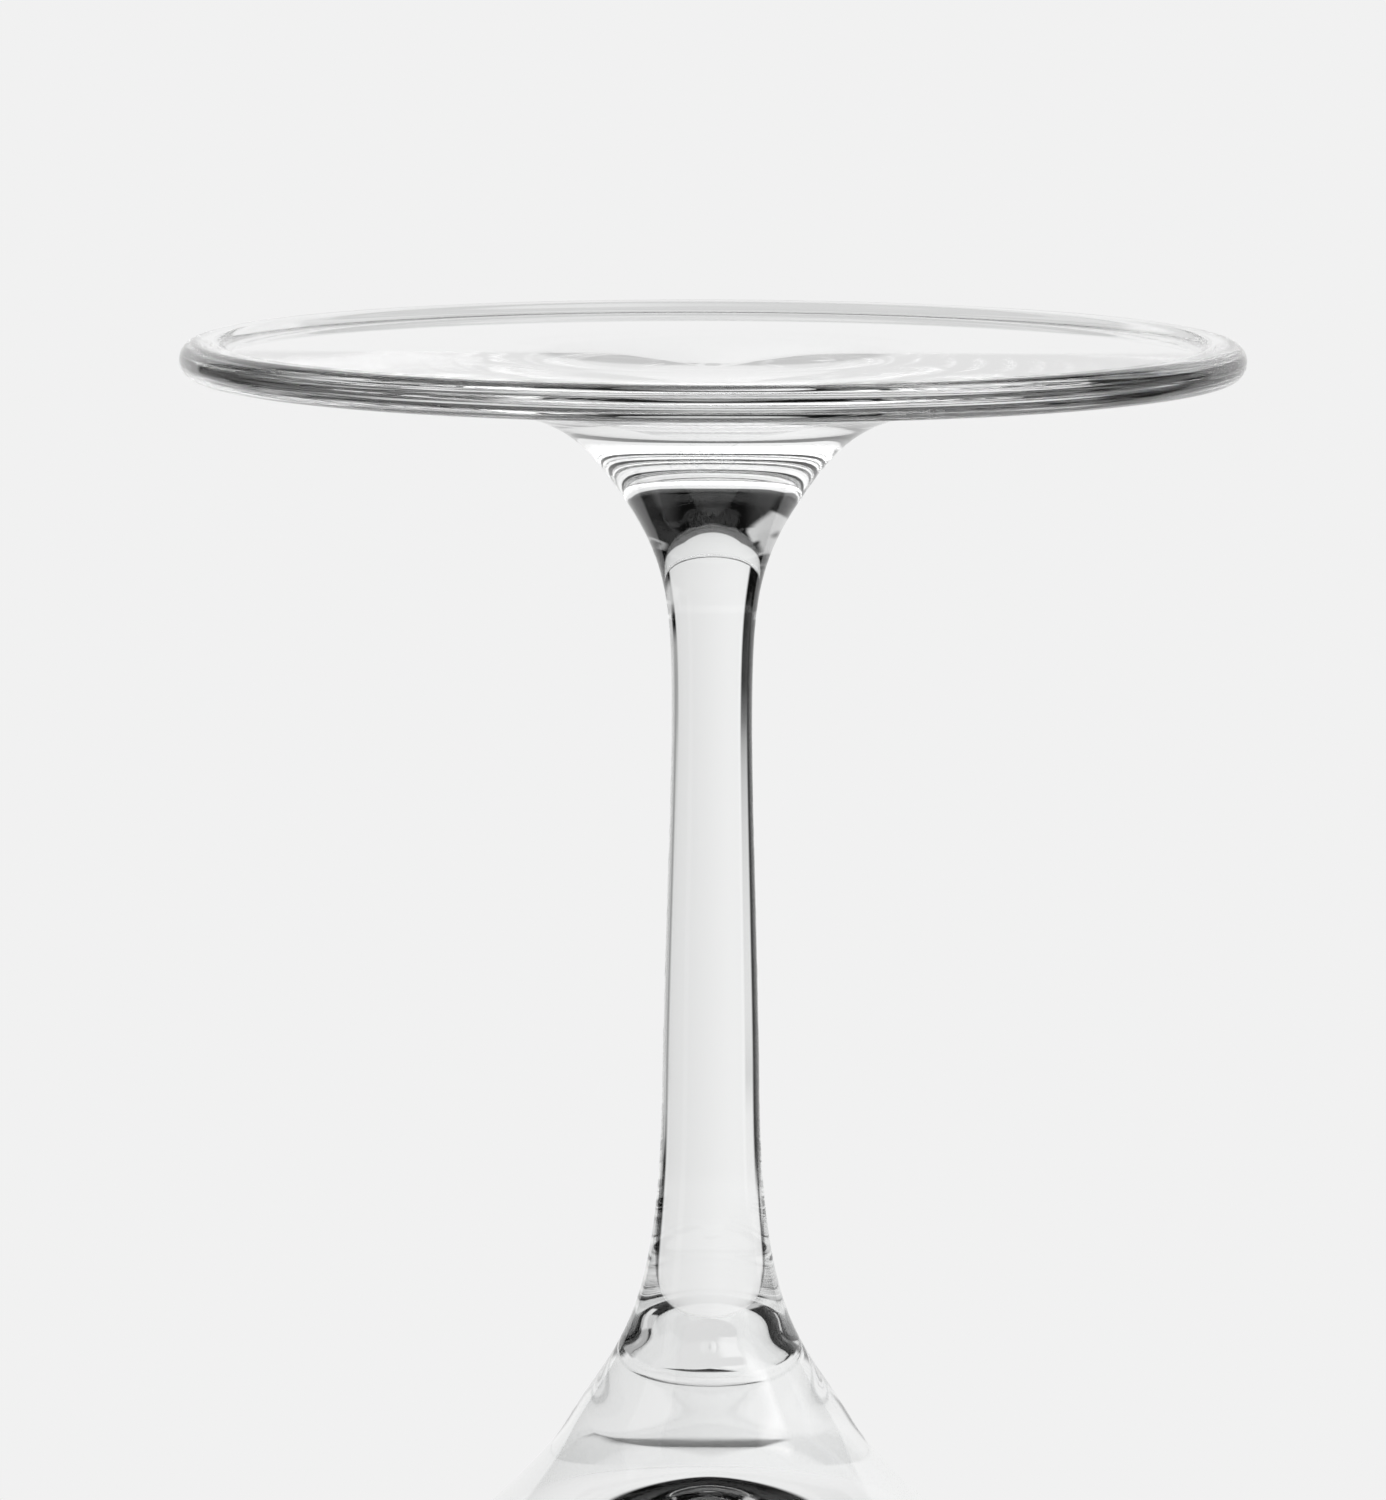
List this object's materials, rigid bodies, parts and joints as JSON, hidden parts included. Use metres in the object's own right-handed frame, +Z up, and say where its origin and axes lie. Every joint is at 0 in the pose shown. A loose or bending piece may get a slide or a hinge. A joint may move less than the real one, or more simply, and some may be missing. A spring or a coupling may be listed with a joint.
{
  "type": "gin glass",
  "caption": "Clear stemmed gin glass with a wide rounded bowl that draws in to the mouth, a slim drawn stem and a broad round-edged foot that it stands on.",
  "frame": {"origin": "centre of the plane that the foot stands on", "axes": "+Z up the glass's axis from the foot to the mouth; X and Y are any two square directions, because the glass is round"},
  "size_m": [0.106, 0.106, 0.2048],
  "materials": {
    "foot_glass": "clear, fire polished",
    "stem_glass": "clear, fire polished",
    "bowl_glass": "clear, fire polished"
  },
  "bodies": {
    "root": {"foot": "foot_glass", "stem": "stem_glass", "bowl": "bowl_glass"}
  },
  "joints": []
}
